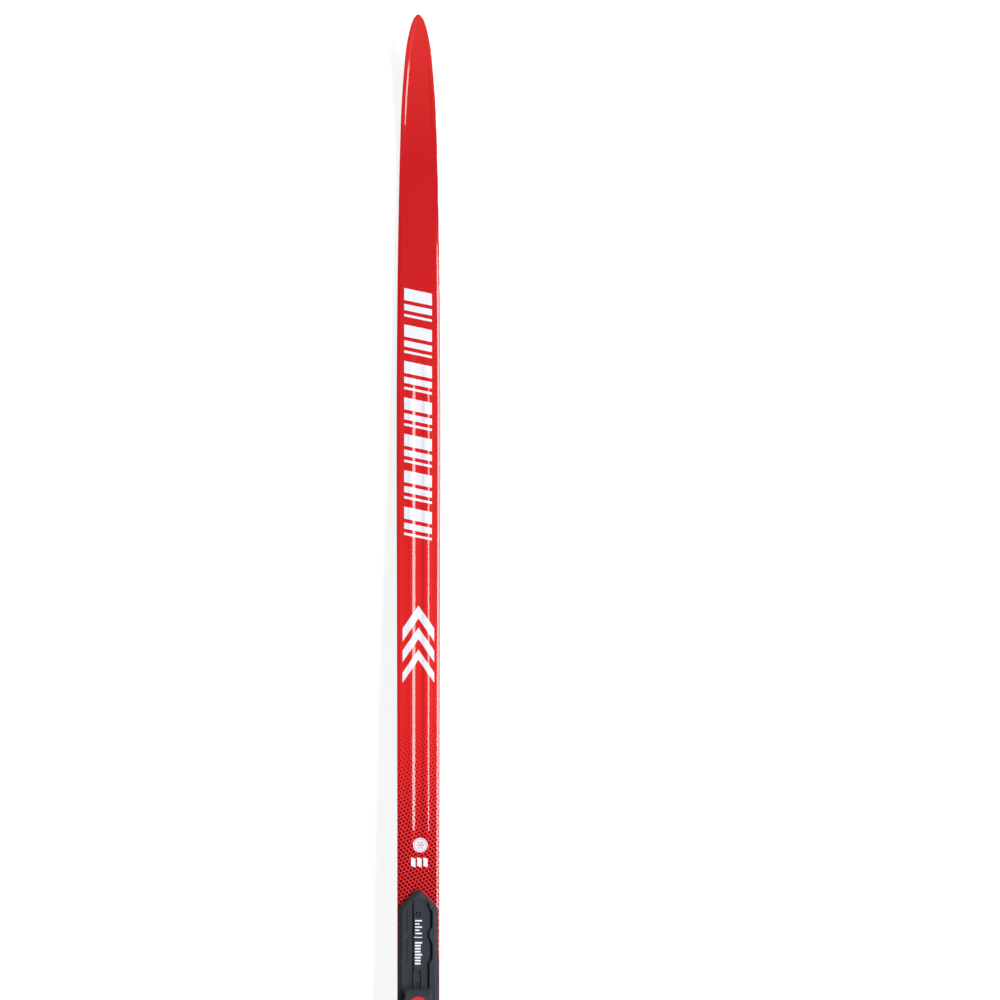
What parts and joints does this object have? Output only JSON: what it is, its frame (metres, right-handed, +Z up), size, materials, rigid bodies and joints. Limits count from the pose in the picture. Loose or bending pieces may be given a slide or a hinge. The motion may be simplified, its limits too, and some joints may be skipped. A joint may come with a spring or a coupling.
{
  "type": "cross country ski",
  "caption": "Long narrow cambered ski with upturned pointed tip, ridged gloss cap, skin kick zone and a bonded rail plate carrying a sliding toe binding with lever and a heel piece.",
  "frame": {"origin": "on the running surface, on the centre line, directly below the boot bar axis", "axes": "+Y towards the ski's tip, +X to the skier's right, +Z up away from the snow"},
  "size_m": [0.046, 2.02, 0.0796],
  "materials": {
    "topsheet": "gloss red moulded cap",
    "laminate": "fibre laminate",
    "foam": "rigid foam",
    "wood": "light wood",
    "sidewall": "black sidewall",
    "filler": "filler",
    "base": "sintered base, satin",
    "skin_backing": "adhesive backing",
    "skin": "mohair pile",
    "protector": "moulded end piece",
    "film": "adhesive film",
    "plate": "dark blue-grey moulded plastic",
    "binding_body": "dark moulded plastic",
    "steel": "stainless steel",
    "spring_steel": "spring wire",
    "flexor": "elastomer",
    "lever": "dark moulded plastic",
    "inlay": "red grip inlay",
    "latch": "light grey moulded plastic",
    "pads": "rubber pads"
  },
  "bodies": {
    "ski": {"topsheet": "topsheet", "upper_laminate": "laminate", "core_foam": "foam", "core_stringers": "wood", "sidewall_left": "sidewall", "sidewall_right": "sidewall", "tip_spacer": "filler", "tail_spacer": "filler", "lower_laminate": "laminate", "glide_base": "base", "skin_backing": "skin_backing", "skin_pile": "skin", "tail_protector": "protector", "plate_bond_film": "film", "binding_plate": "plate"},
    "toe_piece": {"toe_base": "binding_body", "bar_seat": "steel", "flexor": "flexor", "lever_pin": "steel", "jaw_spring": "spring_steel", "latch_spring": "spring_steel"},
    "jaw": {"jaw": "steel"},
    "lever": {"toe_lever": "lever", "lever_inlay": "inlay"},
    "latch": {"position_latch": "latch"},
    "heel_piece": {"heel_base": "binding_body", "heel_pads": "pads", "heel_latch_pin": "steel"},
    "heel_tab": {"heel_latch": "latch"}
  },
  "joints": [
    {"name": "toe_piece_slide", "type": "slide", "parent": "ski", "child": "toe_piece", "axis": [0, 1, 0], "range_m": [-0.012, 0.012]},
    {"name": "lever_hinge", "type": "hinge", "parent": "toe_piece", "child": "lever", "pos_m": [0, 0.026, 0.042], "axis": [1, 0, 0], "range_deg": [0, 55]},
    {"name": "jaw_slide", "type": "slide", "parent": "toe_piece", "child": "jaw", "axis": [0, 1, 0], "range_m": [0, 0.0054], "deforming": ["jaw_spring"]},
    {"name": "latch_lift", "type": "slide", "parent": "toe_piece", "child": "latch", "axis": [0, 0, 1], "range_m": [-0.0011, 0], "deforming": ["latch_spring"]},
    {"name": "heel_piece_slide", "type": "slide", "parent": "ski", "child": "heel_piece", "axis": [0, 1, 0], "range_m": [-0.01, 0.02]},
    {"name": "heel_tab_hinge", "type": "hinge", "parent": "heel_piece", "child": "heel_tab", "pos_m": [0, -0.236, 0.0333], "axis": [1, 0, 0], "range_deg": [0, 8]}
  ],
  "couplings": [
    {"joint": "jaw_slide", "follows": "lever_hinge", "m_per_rad": 0.0056254}
  ]
}
